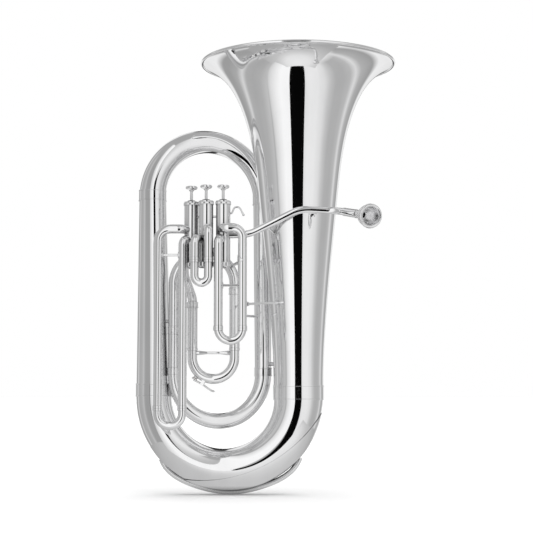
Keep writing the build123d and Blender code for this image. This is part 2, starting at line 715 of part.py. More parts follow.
def mouthpiece_receiver():
    """Sleeve with a socket for the leadpipe and a taper for the shank."""
    plane = Plane(origin=RECEIVER_START, z_dir=MOUTHPIECE_AIM)
    end = RECEIVER_LENGTH
    taper = end - SHANK_DEPTH
    mouth_bore = SHANK_MOUTH_RADIUS + TAPER_CLEARANCE
    tip_bore = SHANK_TIP_RADIUS + TAPER_CLEARANCE
    return turned(plane, [(LEADPIPE_RADIUS, 0), (RECEIVER_RADIUS - 0.4, 0), (RECEIVER_RADIUS, 0.4),
                          (RECEIVER_RADIUS, 1.6), (RECEIVER_RADIUS - 0.3, 1.9),
                          (RECEIVER_RADIUS - 0.1, end - 7), (RECEIVER_RADIUS + 0.4, end - 6.4),
                          (RECEIVER_RADIUS + 0.4, end - 1), (RECEIVER_RADIUS - 0.1, end), (mouth_bore, end),
                          (tip_bore, taper - 0.5), (LEADPIPE_BORE, taper - 0.5),
                          (LEADPIPE_BORE, SOCKET_DEPTH), (LEADPIPE_RADIUS, SOCKET_DEPTH)])


def mouthpiece():
    """Cup, throat, backbore and tapered shank, turned in one piece."""
    end = MOUTHPIECE_LENGTH
    rim = MOUTHPIECE_RIM_RADIUS
    outside = [(SHANK_TIP_RADIUS, 0), (SHANK_MOUTH_RADIUS, SHANK_DEPTH), (6.9, 40), (7.6, 47)]
    cup = Spline((7.6, 0, 47), (9.6, 0, 52), (15.6, 0, 60), (19.2, 0, 70), (19.9, 0, 77),
                 tangents=[(0, 0, 1), (0.15, 0, 1)])
    lip = Spline((19.9, 0, 77), (rim, 0, end - 3.6), (19.2, 0, end), (16.6, 0, end - 1.2),
                 (16.0, 0, end - 3.5), tangents=[(0.9, 0, 0.6), (-0.1, 0, -1)])
    bowl = Spline((16.0, 0, end - 3.5), (15.4, 0, 73), (11.5, 0, 60.5), (4.6, 0, 52), (3.9, 0, 48),
                  tangents=[(-0.1, 0, -1), (0, 0, -1)])
    sides = [Line((a[0], 0, a[1]), (b[0], 0, b[1])) for a, b in zip(outside, outside[1:])]
    sides += [cup, lip, bowl, Line((3.9, 0, 48), (3.9, 0, 44)), Line((3.9, 0, 44), (5.2, 0, 0)),
              Line((5.2, 0, 0), (SHANK_TIP_RADIUS, 0, 0))]
    tip = RECEIVER_START + MOUTHPIECE_AIM * (RECEIVER_LENGTH - SHANK_DEPTH)
    return Plane(origin=tip, z_dir=MOUTHPIECE_AIM) * revolve(make_face(sides), Axis.Z)


def finger_hook():
    x, y = VALVE_AXES[1]
    points = [(x, y, 517.5), (x + CASING_RADIUS + 3, y, 519.5), (x + 21, y, 531), (x + 30, y, 531),
              (x + 37.5, y, 516.5)]
    shape = pipe(points, [4, 6, 7], 1.7)
    shape = shape + Pos(x + 37.5, y, 516.5) * Sphere(2.4)
    return shape - casing_core(1)


# ---- Braces -----------------------------------------------------------------
def slide_braces():
    """Cross bars between the fixed legs of the third and the first slide."""
    tube = ((0, 0, 1), SLEEVE_RADIUS)
    third = brace((SLIDE_3_LEFT_X, SLIDE_3_Y, 441.5), (SLIDE_3_RIGHT_X, SLIDE_3_Y, 441.5), tube, tube)
    first = brace((SLIDE_1_LEFT_X, SLIDE_1_Y, 384), (SLIDE_1_RIGHT_X, SLIDE_1_Y, 384), tube, tube)
    return third, first


def bell_stay(start, tube, aim, grown, bell_body):
    """Rod from a tube's axis to the bell, with a foot on each."""
    run = (Vector(aim) - Vector(start)).normalized()
    heading, radius = tube
    half = Vector(heading) * (PAD_RADIUS * 3)
    bar = rod(start, aim, BRACE_RADIUS) - rod(Vector(start) - half, Vector(start) + half, radius)
    bar = bar + pad(start, heading, radius, run)
    foot = rod(start, aim, PAD_RADIUS) & grown
    bar = bar + foot
    return bar - bell_body


def slide_flange(stay):
    """Diamond plate wrapped half round the first slide's right leg, where its stay starts."""
    host = Vector(SLIDE_1_RIGHT_X, SLIDE_1_Y, FLANGE_Z)
    shell = ring(host.X, host.Y, FLANGE_Z - FLANGE_HALF_HEIGHT, FLANGE_Z + FLANGE_HALF_HEIGHT,
                 SLEEVE_RADIUS + PAD_THICKNESS, SLEEVE_RADIUS)
    front = Plane(origin=host, x_dir=(0.5, -1, 0), z_dir=(-1, -0.5, 0))
    corners = [(FLANGE_HALF_WIDTH, 0), (0, FLANGE_HALF_HEIGHT),
               (-FLANGE_HALF_WIDTH, 0), (0, -FLANGE_HALF_HEIGHT)]
    diamond = extrude(front * make_face(Polyline(*corners, close=True)), amount=2 * SLEEVE_RADIUS)
    back = stay + pad(host, (0, 0, 1), SLEEVE_RADIUS, Vector(-21.7, 67, 0))
    return back + (shell & diamond)


def inner_branch_axis(z):
    span = INNER_BRANCH_TOP - INNER_BRANCH_FOOT
    share = (z - INNER_BRANCH_FOOT.Z) / span.Z
    ease = share * share * (3 - 2 * share)
    radius = INNER_BRANCH_FOOT_RADIUS + (INNER_BRANCH_TOP_RADIUS - INNER_BRANCH_FOOT_RADIUS) * share
    return INNER_BRANCH_FOOT + Vector(span.X * share, span.Y * ease, span.Z * share), radius


def body_braces(bell_body, grown_bell, branch_body):
    """Stays that tie the tubes to one another and to the bell."""
    sleeve = ((0, 0, 1), SLEEVE_RADIUS)
    first_leg = Vector(SLIDE_1_RIGHT_X, SLIDE_1_Y, 349.5)
    bell_side = Vector(105, -28, 357)
    run = (bell_side - first_leg).normalized()
    stay = bell_stay(first_leg, sleeve, bell_side, grown_bell, bell_body)
    stays = [stay + rod(first_leg + run * 10.2, first_leg + run * 13.8, 3.6)]
    branch, _ = inner_branch_axis(333)
    tuning = ((0, 0, 1), TUNING_SLEEVE_RADIUS)
    bar = rod((TUNING_RIGHT_X, TUNING_Y, 333), branch, BRACE_RADIUS)
    bar = bar - post(TUNING_RIGHT_X, TUNING_Y, 320, 346, TUNING_SLEEVE_RADIUS)
    bar = bar + pad((TUNING_RIGHT_X, TUNING_Y, 333), (0, 0, 1), TUNING_SLEEVE_RADIUS,
                    branch - Vector(TUNING_RIGHT_X, TUNING_Y, 333))
    stays.append(bar - inner_branch(0))
    bar = rod((INNER_BOW_LEFT.X, TUNING_Y, 322), (-145, 0, 322), 3.2)
    bar = bar - post(INNER_BOW_LEFT.X, TUNING_Y, 310, 334, ARCH_RADIUS) - branch_body
    stays.append(bar)
    for z in (243, 546):
        centre, _ = inner_branch_axis(z)
        bar = rod(centre, (BELL_X, 0, z), 3.4)
        stays.append(bar - inner_branch(0) - bell_body)
    shoulder = Vector(2.3, TUNING_Y, 425)
    bar = rod((SLIDE_1_RIGHT_X, SLIDE_1_Y, FLANGE_Z), shoulder, BRACE_RADIUS + 0.6)
    bar = bar - post(SLIDE_1_RIGHT_X, SLIDE_1_Y, FLANGE_Z - 20, FLANGE_Z + 20, SLEEVE_RADIUS)
    stays.append(slide_flange(bar) - crossover_arch(ARCH_RADIUS))
    return stays


def leadpipe_braces(bell_body, grown_bell):
    """Posts that hold the leadpipe off the bell on each side."""
    stays = []
    for start, aim in (((66, -72.5, 494.8), (95, -30, 476)), ((184, -88, 525), (165, -25, 528))):
        run = (Vector(aim) - Vector(start)).normalized()
        bar = rod(start, aim, BRACE_RADIUS)
        bar = bar + rod(Vector(start) + run * 5, Vector(start) + run * 9, 4.4)
        bar = bar + (rod(start, aim, PAD_RADIUS) & grown_bell)
        stays.append(bar - bell_body - leadpipe(LEADPIPE_RADIUS))
    return stays


# ---- Build and export -------------------------------------------------------
def group(shapes):
    """One node made of separate solids, largest lump of each shape only."""
    solids = []
    for shape in shapes:
        solids.append(max(shape.solids(), key=lambda solid: solid.volume))
    return Compound(children=solids)


def save(name, shape):
    export_step(shape, f"parts/{name}.step")
    print(f"{name:24s} {shape.volume:12.1f} mm3  {len(shape.solids())} solids")


def hollow(make, wall):
    """Tube wall from a function that gives its solid at a stated outset."""
    return make(0) - make(-wall)


def main_bugle():
    bell_body = bell_solid(0, BELL_JOINT_Z)
    bow_body = bow_solid(0)
    branch_body = outer_branch(0)
    top_body = top_bow(0)
    inner_body = inner_branch(0)
    inner_bow_body = inner_bow(0)
    inner_tube_body = inner_tube(0)
    arch_body = crossover_arch(ARCH_RADIUS)
    exit_body = exit_path(EXIT_RADIUS)
    for name, length in zip(("bell_tail", "bell_body", "bell_flare"), bell_lengths()):
        save(name, length)
    save("bell_rim_wire", bell_rim_wire())
    save("bell_ferrule", ferrule(BELL_X, 0, BELL_JOINT_Z, 27, BOW_BIG_RADIUS, bell_body, bow_body))
    save("bottom_bow", hollow(bow_solid, BOW_WALL))
    guard = bow_guard(bow_body, bow_solid(GUARD_THICKNESS))
    save("bow_guard", guard)
    save("bow_guard_rib", group([bow_guard_rib(bow_body, guard)]))
    save("outer_branch", hollow(outer_branch, BOW_WALL))
    save("outer_branch_ferrule",
         ferrule(BRANCH_FOOT.X, 0, BRANCH_FOOT.Z, 24, BOW_SMALL_RADIUS, branch_body, bow_body))
    save("top_bow", hollow(top_bow, BOW_WALL))
    left = ferrule(BRANCH_TOP.X, 0, BRANCH_TOP.Z, 20, BRANCH_TOP_RADIUS, branch_body, top_body)
    right = ferrule(INNER_BRANCH_TOP.X, INNER_BRANCH_TOP.Y, INNER_BRANCH_TOP.Z, 18, INNER_BRANCH_TOP_RADIUS,
                    inner_body, top_body)
    save("top_bow_ferrules", group([left, right]))
    save("inner_branch", hollow(inner_branch, TUBE_WALL))
    save("inner_bow", hollow(inner_bow, TUBE_WALL))
    right = ferrule(INNER_BOW_RIGHT.X, INNER_BOW_RIGHT.Y, INNER_BRANCH_FOOT.Z, 16, INNER_BRANCH_FOOT_RADIUS,
                    inner_body, inner_bow_body)
    left = ferrule(INNER_BOW_LEFT.X, INNER_BOW_LEFT.Y, INNER_TUBE_FOOT_Z, 14, INNER_BOW_LEFT_RADIUS,
                   inner_tube_body, inner_bow_body)
    save("inner_bow_ferrules", group([right, left]))
    save("inner_tube", hollow(inner_tube, TUBE_WALL))
    save("crossover_arch", arch_body - crossover_arch(ARCH_RADIUS - TUBE_WALL))
    sleeve_body = post(TUNING_RIGHT_X, TUNING_Y, TUNING_JOINT_Z, ARCH_FOOT_Z, TUNING_SLEEVE_RADIUS)
    left_sleeve = post(TUNING_LEFT_X, TUNING_Y, TUNING_JOINT_Z, TUNING_LEFT_TOP_Z, TUNING_SLEEVE_RADIUS)
    rings = [ferrule(INNER_BOW_LEFT.X, TUNING_Y, INNER_TUBE_TOP_Z, 14, ARCH_RADIUS,
                     inner_tube_body, arch_body),
             ferrule(TUNING_RIGHT_X, TUNING_Y, ARCH_FOOT_Z, 12, ARCH_RADIUS, arch_body, sleeve_body),
             ferrule(TUNING_LEFT_X, TUNING_Y, TUNING_LEFT_TOP_Z, 10, TUNING_SLEEVE_RADIUS,
                     left_sleeve, exit_body)]
    save("crossover_ferrules", group(rings))
    save("valve_exit_tube", group([exit_body - exit_path(EXIT_RADIUS - TUBE_WALL) - casing_core(3)]))
    return bell_body, branch_body


def tuning_slide():
    core = tuning_bow_core()
    save("tuning_slide_sleeves", tuning_slide_sleeves())
    save("tuning_slide_bow", tuning_slide_bow())
    save("tuning_slide_brace", tuning_slide_brace())
    save("water_key_nipple", water_key_nipple(core))
    save("water_key_saddle", water_key_saddle(core))
    save("water_key_lever", water_key_lever())
    save("water_key_cork", water_key_cork())
    save("water_key_pin", water_key_pin())
    save("water_key_spring", water_key_spring())


def valve_section():
    passages = {}
    for number in (1, 2, 3):
        passages[number] = [pipe(*run, LEG_BORE) for run in port_runs(number).values()]
    joint_12 = rod((*VALVE_AXES[1], KNUCKLE_12_Z), (*VALVE_AXES[2], KNUCKLE_12_Z), LEG_BORE)
    joint_23 = rod((*VALVE_AXES[2], KNUCKLE_23_Z), (*VALVE_AXES[3], KNUCKLE_23_Z), LEG_BORE)
    passages[1] += [leadpipe(LEADPIPE_BORE), joint_12]
    passages[2] += [joint_12, joint_23]
    passages[3] += [joint_23, exit_path(EXIT_RADIUS - TUBE_WALL)]
    first, second, third = (Vector(*VALVE_AXES[n], 0) for n in (1, 2, 3))
    to_second = (second - first).normalized() * 13
    to_third = (third - second).normalized() * 13
    to_exit = (Vector(-87, -5, 0) - third).normalized() * 13
    entries = {1: (first + Vector(13, 0, LEADPIPE_PORT_Z), first + to_second + UP * KNUCKLE_12_Z),
               2: (second - to_second + UP * KNUCKLE_12_Z, second + to_third + UP * KNUCKLE_23_Z),
               3: (third - to_third + UP * KNUCKLE_23_Z, third + to_exit + UP * EXIT_PORT_Z)}
    for number in (1, 2, 3):
        save(f"valve_casing_{number}", valve_casing(number, passages[number]))
        save(f"valve_piston_{number}", piston(number, *entries[number]))
        save(f"valve_stem_{number}", stem(number))
        save(f"valve_button_{number}", button(number))
        save(f"valve_spring_{number}", valve_spring(number))
        save(f"slide_{number}_tubes", slide_tubes(number))
    save("valve_top_caps", group([top_cap(number) for number in (1, 2, 3)]))
    save("valve_bottom_caps", group([bottom_cap(number) for number in (1, 2, 3)]))
    save("valve_felts", group([felt(number) for number in (1, 2, 3)]))
    save("valve_knuckles", group([knuckle(1, 2, KNUCKLE_12_Z), knuckle(2, 3, KNUCKLE_23_Z),
                                  casing_link(1, 2), casing_link(2, 3)]))


def valve_slides():
    sizes = (SLIDE_BOW_RADIUS, LEG_RADIUS, LEG_BORE, COLLAR_RADIUS)
    save("slide_1_bow",
         slide_bow(SLIDE_1_LEFT_X, SLIDE_1_RIGHT_X, SLIDE_1_Y, SLIDE_1_JOINT_Z, SLIDE_1_LOW_Z,
                   SLIDE_1_LEG, sizes))
    save("slide_2_bow",
         slide_bow(SLIDE_2_LEFT_X, SLIDE_2_RIGHT_X, SLIDE_2_Y, SLIDE_2_JOINT_Z, SLIDE_2_LOW_Z,
                   SLIDE_2_LEG, sizes))
    save("slide_3_bow",
         slide_bow(SLIDE_3_LEFT_X, SLIDE_3_RIGHT_X, SLIDE_3_Y, SLIDE_3_JOINT_Z, SLIDE_3_LOW_Z,
                   SLIDE_3_LEG, sizes))


def fittings(bell_body, branch_body):
    grown_bell = bell_solid(PAD_THICKNESS, BELL_JOINT_Z)
    lead = leadpipe(LEADPIPE_RADIUS) - leadpipe(LEADPIPE_BORE) - casing_core(1)
    save("leadpipe", lead)
    save("mouthpiece_receiver", mouthpiece_receiver())
    save("mouthpiece", mouthpiece())
    save("finger_hook", group([finger_hook()]))
    save("slide_braces", group(slide_braces()))
    save("body_braces", group(body_braces(bell_body, grown_bell, branch_body)))
    save("leadpipe_braces", group(leadpipe_braces(bell_body, grown_bell)))


bodies = main_bugle()
tuning_slide()
valve_section()
valve_slides()
fittings(*bodies)
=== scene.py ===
"""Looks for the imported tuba: smooth silver tubes, fittings, felts and pearls in a pale studio."""
import json
import math

import bpy
import numpy as np
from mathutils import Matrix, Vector


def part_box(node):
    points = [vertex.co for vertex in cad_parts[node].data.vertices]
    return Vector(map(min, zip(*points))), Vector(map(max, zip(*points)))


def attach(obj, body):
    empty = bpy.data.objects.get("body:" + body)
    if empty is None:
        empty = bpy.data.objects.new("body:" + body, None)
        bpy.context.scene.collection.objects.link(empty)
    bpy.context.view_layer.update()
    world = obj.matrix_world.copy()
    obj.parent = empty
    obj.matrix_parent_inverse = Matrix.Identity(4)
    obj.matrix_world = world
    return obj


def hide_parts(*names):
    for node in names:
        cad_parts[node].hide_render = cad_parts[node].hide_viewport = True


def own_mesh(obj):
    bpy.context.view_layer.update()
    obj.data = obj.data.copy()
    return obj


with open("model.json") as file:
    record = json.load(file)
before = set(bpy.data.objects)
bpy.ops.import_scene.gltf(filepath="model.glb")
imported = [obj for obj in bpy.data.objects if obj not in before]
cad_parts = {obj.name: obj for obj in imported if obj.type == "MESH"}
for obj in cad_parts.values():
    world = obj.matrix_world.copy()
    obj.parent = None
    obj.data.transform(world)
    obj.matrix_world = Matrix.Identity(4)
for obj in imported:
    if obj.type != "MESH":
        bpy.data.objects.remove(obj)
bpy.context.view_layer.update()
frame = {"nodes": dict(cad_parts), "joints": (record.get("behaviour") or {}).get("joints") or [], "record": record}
NODES = frame["nodes"]

MM = 0.001
UP = Vector((0, 0, 1))
DOWN = Vector((0, 0, -1))

# ---- Nodes, and how finely the pieces are divided -----------------------------
BELL_NODES = ["bell_tail", "bell_body", "bell_flare"]
SEGMENTS = 192
BELL_SEGMENTS = 256
BELL_SPAN_STEPS = 14
BEAD_STEPS = 24
INLAY_SEGMENTS = 96
SPRING_STEPS = 48
WIRE_SEGMENTS = 12

# ---- Sizes that the frame doesn't state, in metres ---------------------------
LEVEL_BAND = 0.05 * MM
MAIN_WALL = 0.9 * MM
TUBE_WALL = 0.8 * MM
BEAD_RADIUS = 2.6 * MM
BEAD_FLAT = 0.2 * MM
BOW_STUB = 7 * MM
INNER_STUB = 5 * MM
BOW_TAPER_POWER = 1.35
BUTTON_LIP = 2.5 * MM
INLAY_DEPTH = 0.75 * MM
INLAY_CHAMFER = 0.2 * MM
INLAY_SINK = 0.1 * MM
INLAY_DOME = 0.35 * MM
SPRING_WIRE = 0.6 * MM
SPRING_TURNS = 7
KNURL_TEETH = 72
KNURL_DEPTH = 0.22 * MM
TOP_GRIP = (0.4 * MM, 2.8 * MM)
BOTTOM_GRIP = (2.2 * MM, 1.2 * MM)
# Outside of the bell from foot to rim, as (radius, height), and its directions at both ends.
BELL_OUTLINE = [(0.0465, 0.203), (0.050, 0.299), (0.060, 0.420), (0.0706, 0.522), (0.0778, 0.591),
                (0.0903, 0.670), (0.111, 0.736), (0.144, 0.788), (0.1812, 0.8128)]
BELL_FOOT_HEADING = (0, 1)
BELL_RIM_HEADING = (1, 0.42)

# ---- Finish ----------------------------------------------------------------------
# The part of a noise's range that is used, the roughness of the silver, and how dark the painted shade in its
# corners gets.
NOISE_SPREAD = (0.3, 0.7)
NOISE_TINT = (0.32, 0.68)
PLATE_POLISH = (0.025, 0.06)
MOUTHPIECE_POLISH = (0.22, 0.32)
# Painted shade: ambient occlusion darkens the silver's colour in corners and between neighbouring parts, within
# this reach.
PAINTED_SHADE_REACH = 18 * MM
PAINTED_SHADE_SAMPLES = 6
PAINTED_SHADE_LEVELS = [(0.15, 0.3), (0.9, 1)]

# ---- Camera and studio ---------------------------------------------------------
CAMERA_PLACE = Vector((0.068, -2.6502, 0.194))
CAMERA_PITCH = math.radians(90 + 5.013)
CAMERA_LENS = 95.09
CAMERA_SENSOR = 36.0
# Screens stand on (X, Y) points, in metres. A glow is a list of (place from 0 to 1, grey level).
LEFT_SCREEN_NEAR = (-0.228, -0.25)
LEFT_SCREEN_FAR = (-0.043, -0.56)
LEFT_SCREEN_HEIGHTS = (-0.6, 1.25)
LEFT_SCREEN_GLOW = [(0, 0.62), (0.1, 0.74), (0.28, 0.88), (0.5, 1.0), (1, 0.98)]
RIGHT_SCREEN_EDGE = (0.352, -1.0)
RIGHT_SCREEN_END = (1.0, -1.0)
RIGHT_SCREEN_HEIGHTS = (-1.7, 2.2)
RIGHT_SCREEN_GLOW = [(0, 0.8), (0.3, 0.86), (1, 0.85)]
FLOOR_REACH = 30
FLOOR_GREY = 0.93
FLOOR_GLOW = 0.08
OVERHEAD_PLACE = (0, 0, 3)
OVERHEAD_ENERGY = 2.2
OVERHEAD_SPREAD = math.radians(70)
# The table card, and its glow by distance from its brightest spot.
TABLE_FRONT = -0.48
TABLE_BACK = 0.4
TABLE_LEFT = -0.3
TABLE_RIGHT = 0.45
TABLE_Z = -2 * MM
TABLE_POOL = (0.13, -0.36, TABLE_Z)
TABLE_GLOW = [(0, 0.88), (0.18, 0.82), (0.34, 0.58), (0.6, 0.42), (1, 0.38)]
# Surroundings, by bearing in degrees: 0 is straight in front, 90 is right. The front is bright on the right
# and grey on the left, where the left screen stands before it. Behind are grey walls, with a bright band on
# each side of a dark strip.
ROUND_LIGHT = [(-180, 0.04), (-175, 0.05), (-172, 0.8), (-155, 0.9), (-148, 0.36), (-140, 0.36),
               (-127, 0.42), (-117, 0.70), (-109, 0.44), (-95, 0.42), (-80, 0.45), (-66, 0.55), (-58, 0.4),
               (-50, 0.36), (-22, 0.36), (0, 0.5), (31, 0.84), (42, 0.84), (55, 0.76), (66, 0.58),
               (78, 0.46), (95, 0.45), (108, 0.5), (118, 0.74), (128, 0.46), (145, 0.36), (152, 0.9),
               (169, 0.8), (172, 0.05), (180, 0.04)]
# The dark gap between the screens, by bearing and by elevation in degrees: its whole width is dark up to
# the horizon, and its right part goes on above.
GAP_GREY = 0.002
GAP_BELOW_ACROSS = [(-23, 0), (-22, 1), (31, 1), (32, 0)]
GAP_BELOW_ALOFT = [(0.8, 1), (1.6, 0)]
GAP_ABOVE_ACROSS = [(1.5, 0), (3, 1), (31, 1), (32, 0)]
GAP_ABOVE_ALOFT = [(14.5, 1), (16.5, 0)]
# Where the ground and the ceiling take over from the walls, by elevation, and their greys by height.
POLES = [(-70, 1), (-64, 0), (48, 0), (56, 1)]
POLE_GREYS = [(0.3, 0.75), (0.7, 0.40)]


# ---- Reading places from the frame ----------------------------------------------
def vertices(node):
    """A node's vertices, one row each."""
    mesh = NODES[node].data
    points = np.empty(len(mesh.vertices) * 3, np.float32)
    mesh.vertices.foreach_get("co", points)
    return points.reshape(-1, 3).astype(float)


def mouth(node, side, top):
    """Centre and outer radius of a tube's level end: side -1 is left, 1 is right, 0 is either."""
    points = vertices(node)
    if side:
        middle = (points[:, 0].min() + points[:, 0].max()) / 2
        points = points[(points[:, 0] - middle) * side > 0]
    level = points[:, 2].max() if top else points[:, 2].min()
    ring = points[abs(points[:, 2] - level) < LEVEL_BAND]
    low, high = ring.min(0), ring.max(0)
    return Vector((low + high) / 2), (high[0] - low[0]) / 2


def axis_of(node):
    """Centre of a node's box."""
    low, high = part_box(node)
    return (low + high) / 2


# ---- Mesh building ------------------------------------------------------------
def add_mesh(name, points, faces, body, material, slot, smooth_angle=40):
    """A new visible piece that rides on a body."""
    mesh = bpy.data.meshes.new(name)
    mesh.from_pydata([tuple(p) for p in points], [], faces)
    mesh.update()
    piece = bpy.data.objects.new(name, mesh)
    bpy.context.scene.collection.objects.link(piece)
    mesh.materials.append(material)
    mesh.shade_smooth()
    mesh.set_sharp_from_angle(angle=math.radians(smooth_angle))
    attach(piece, body)
    return piece


def ring_round(centre, radius, height, segments):
    """Points round the Z axis at centre."""
    ring = []
    for j in range(segments):
        angle = 2 * math.pi * j / segments
        ring.append(centre + Vector((radius * math.cos(angle), radius * math.sin(angle), height)))
    return ring


def loop_grid(rings):
    """Points and faces of a closed band through rings; the last ring joins the first."""
    count = len(rings[0])
    points = [point for ring in rings for point in ring]
    faces = []
    for i in range(len(rings)):
        a = i * count
        b = (i + 1) % len(rings) * count
        for j in range(count):
            k = (j + 1) % count
            faces.append((a + j, a + k, b + k, b + j))
    return points, faces


def tube_walls(sections, wall):
    """Rings of a thin tube: along the outside, then back along the inside."""
    outside = []
    inside = []
    for centre, across, aside, radius in sections:
        outer = []
        inner = []
        for j in range(SEGMENTS):
            angle = 2 * math.pi * j / SEGMENTS
            spoke = across * math.cos(angle) + aside * math.sin(angle)
            outer.append(centre + spoke * radius)
            inner.append(centre + spoke * (radius - wall))
        outside.append(outer)
        inside.append(inner)
    return loop_grid(outside + inside[::-1])


def turned(profile, centre, segments):
    """Points and faces of a closed (radius, height) profile turned about the Z axis at centre."""
    return loop_grid([ring_round(centre, radius, height, segments) for radius, height in profile])


def smooth_curve(knots, first, last, per_span):
    """Twice-smooth cubic through 2D knots, with unit directions at its ends."""
    knots = np.array(knots, float)
    steps = np.linalg.norm(np.diff(knots, axis=0), axis=1)
    count = len(knots)
    matrix = np.zeros((count, count))
    right = np.zeros((count, 2))
    matrix[0, 0] = matrix[-1, -1] = 1
    right[0] = np.array(first) / np.linalg.norm(first)
    right[-1] = np.array(last) / np.linalg.norm(last)
    for i in range(1, count - 1):
        before, after = steps[i - 1], steps[i]
        matrix[i, i - 1:i + 2] = after, 2 * (before + after), before
        back = after * (knots[i] - knots[i - 1]) / before
        ahead = before * (knots[i + 1] - knots[i]) / after
        right[i] = 3 * (back + ahead)
    slopes = np.linalg.solve(matrix, right)
    curve = []
    for i in range(count - 1):
        for k in range(per_span):
            t = k / per_span
            curve.append(knots[i] * (1 + 2 * t) * (1 - t) ** 2 + slopes[i] * steps[i] * t * (1 - t) ** 2
                         + knots[i + 1] * t * t * (3 - 2 * t) + slopes[i + 1] * steps[i] * t * t * (t - 1))
    curve.append(knots[-1])
    return np.array(curve)


# ---- Materials -----------------------------------------------------------------
def new_material(name, colour, metallic, roughness):
    """A material with its node tree and its shader."""
    material = bpy.data.materials.new(name)
    material.use_nodes = True
    shader = material.node_tree.nodes["Principled BSDF"]
    shader.inputs["Base Color"].default_value = (*colour, 1)
    shader.inputs["Metallic"].default_value = metallic
    shader.inputs["Roughness"].default_value = roughness
    return material, material.node_tree, shader


def noise(tree, scale, detail, stretch=(1, 1, 1)):
    """Noise in object space, optionally stretched."""
    place = tree.nodes.new("ShaderNodeTexCoord")
    mapping = tree.nodes.new("ShaderNodeMapping")
    mapping.inputs["Scale"].default_value = stretch
    texture = tree.nodes.new("ShaderNodeTexNoise")
    texture.inputs["Scale"].default_value = scale
    texture.inputs["Detail"].default_value = detail
    tree.links.new(place.outputs["Object"], mapping.inputs["Vector"])
    tree.links.new(mapping.outputs["Vector"], texture.inputs["Vector"])
    return texture.outputs["Fac"]


def spread(tree, source, low, high):
    """Maps noise to the range low to high."""
    ranged = tree.nodes.new("ShaderNodeMapRange")
    ranged.inputs["From Min"].default_value = NOISE_SPREAD[0]
    ranged.inputs["From Max"].default_value = NOISE_SPREAD[1]
    ranged.inputs["To Min"].default_value = low
    ranged.inputs["To Max"].default_value = high
    tree.links.new(source, ranged.inputs["Value"])
    return ranged.outputs["Result"]


def tint(tree, source, dark, light):
    """Colours between dark and light by noise."""
    ramp = tree.nodes.new("ShaderNodeValToRGB")
    for element, position, colour in zip(ramp.color_ramp.elements, NOISE_TINT, (dark, light)):
        element.position = position
        element.color = (*colour, 1)
    tree.links.new(source, ramp.inputs["Fac"])
    return ramp.outputs["Color"]


def bump(tree, shader, source, strength, distance):
    """Relief from noise, distance in metres."""
    node = tree.nodes.new("ShaderNodeBump")
    node.inputs["Strength"].default_value = strength
    node.inputs["Distance"].default_value = distance
    tree.links.new(source, node.inputs["Height"])
    tree.links.new(node.outputs["Normal"], shader.inputs["Normal"])


def grey_ramp(tree, source, stops):
    """Grey levels along a 0 to 1 source, from (position, level) stops."""
    ramp = tree.nodes.new("ShaderNodeValToRGB")
    elements = ramp.color_ramp.elements
    while len(elements) < len(stops):
        elements.new(0.5)
    for element, (position, level_value) in zip(elements, stops):
        element.position = position
        element.color = (level_value, level_value, level_value, 1)
    tree.links.new(source, ramp.inputs["Fac"])
    return ramp.outputs["Color"]


def mix_node(tree, blend, factor, first, second):
    """Colour mix of numbers, colours or node outputs."""
    node = tree.nodes.new("ShaderNodeMix")
    node.data_type = "RGBA"
    node.blend_type = blend
    for slot, value in (("Factor", factor), ("A", first), ("B", second)):
        socket = [entry for entry in node.inputs if entry.name == slot and entry.enabled][0]
        if isinstance(value, (int, float, tuple)):
            socket.default_value = value
        else:
            tree.links.new(value, socket)
    return [entry for entry in node.outputs if entry.enabled][0]


def silver_material(name, painted_shade=False, polish=PLATE_POLISH):
    """Silver plate: cool near-white, with faint wipe marks and, where asked, painted shade darkening its colour in
    corners and between parts.
    """
    material, tree, shader = new_material(name, (0.93, 0.93, 0.935), 1.0, 0.05)
    wipes = noise(tree, 26, 3, (1, 1, 0.35))
    colour = tint(tree, wipes, (0.90, 0.90, 0.905), (0.95, 0.95, 0.955))
    if painted_shade:
        # Painted shade: ambient occlusion darkens the base colour where other surfaces are near.
        corners = tree.nodes.new("ShaderNodeAmbientOcclusion")
        corners.samples = PAINTED_SHADE_SAMPLES
        corners.inputs["Distance"].default_value = PAINTED_SHADE_REACH
        shade = grey_ramp(tree, corners.outputs["AO"], PAINTED_SHADE_LEVELS)
        colour = mix_node(tree, "MULTIPLY", 1, colour, shade)
    tree.links.new(colour, shader.inputs["Base Color"])
    fine = noise(tree, 140, 2)
    tree.links.new(spread(tree, fine, *polish), shader.inputs["Roughness"])
    return material


def steel_material(name, colour, low, high):
    """Drawn or turned metal with fine lines across its height; low and high are its roughness."""
    material, tree, shader = new_material(name, colour, 1.0, low)
    lines = noise(tree, 60, 4, (1, 1, 12))
    tree.links.new(spread(tree, lines, low, high), shader.inputs["Roughness"])
    darker = tuple(c * 0.85 for c in colour)
    tree.links.new(tint(tree, lines, darker, colour), shader.inputs["Base Color"])
    return material


def felt_material():
    """Grey felt with fuzz."""
    material, tree, shader = new_material("grey_felt", (0.12, 0.12, 0.125), 0.0, 0.95)
    fuzz = noise(tree, 900, 6)
    tree.links.new(tint(tree, fuzz, (0.07, 0.07, 0.075), (0.2, 0.2, 0.205)), shader.inputs["Base Color"])
    shader.inputs["Sheen Weight"].default_value = 0.5
    bump(tree, shader, fuzz, 0.8, 0.3 * MM)
    return material


def cork_material():
    """Brown cork with dark grains."""
    material, tree, shader = new_material("cork", (0.5, 0.34, 0.2), 0.0, 0.85)
    grains = noise(tree, 500, 5)
    tree.links.new(tint(tree, grains, (0.25, 0.15, 0.08), (0.62, 0.45, 0.28)), shader.inputs["Base Color"])
    bump(tree, shader, grains, 0.6, 0.2 * MM)
    return material


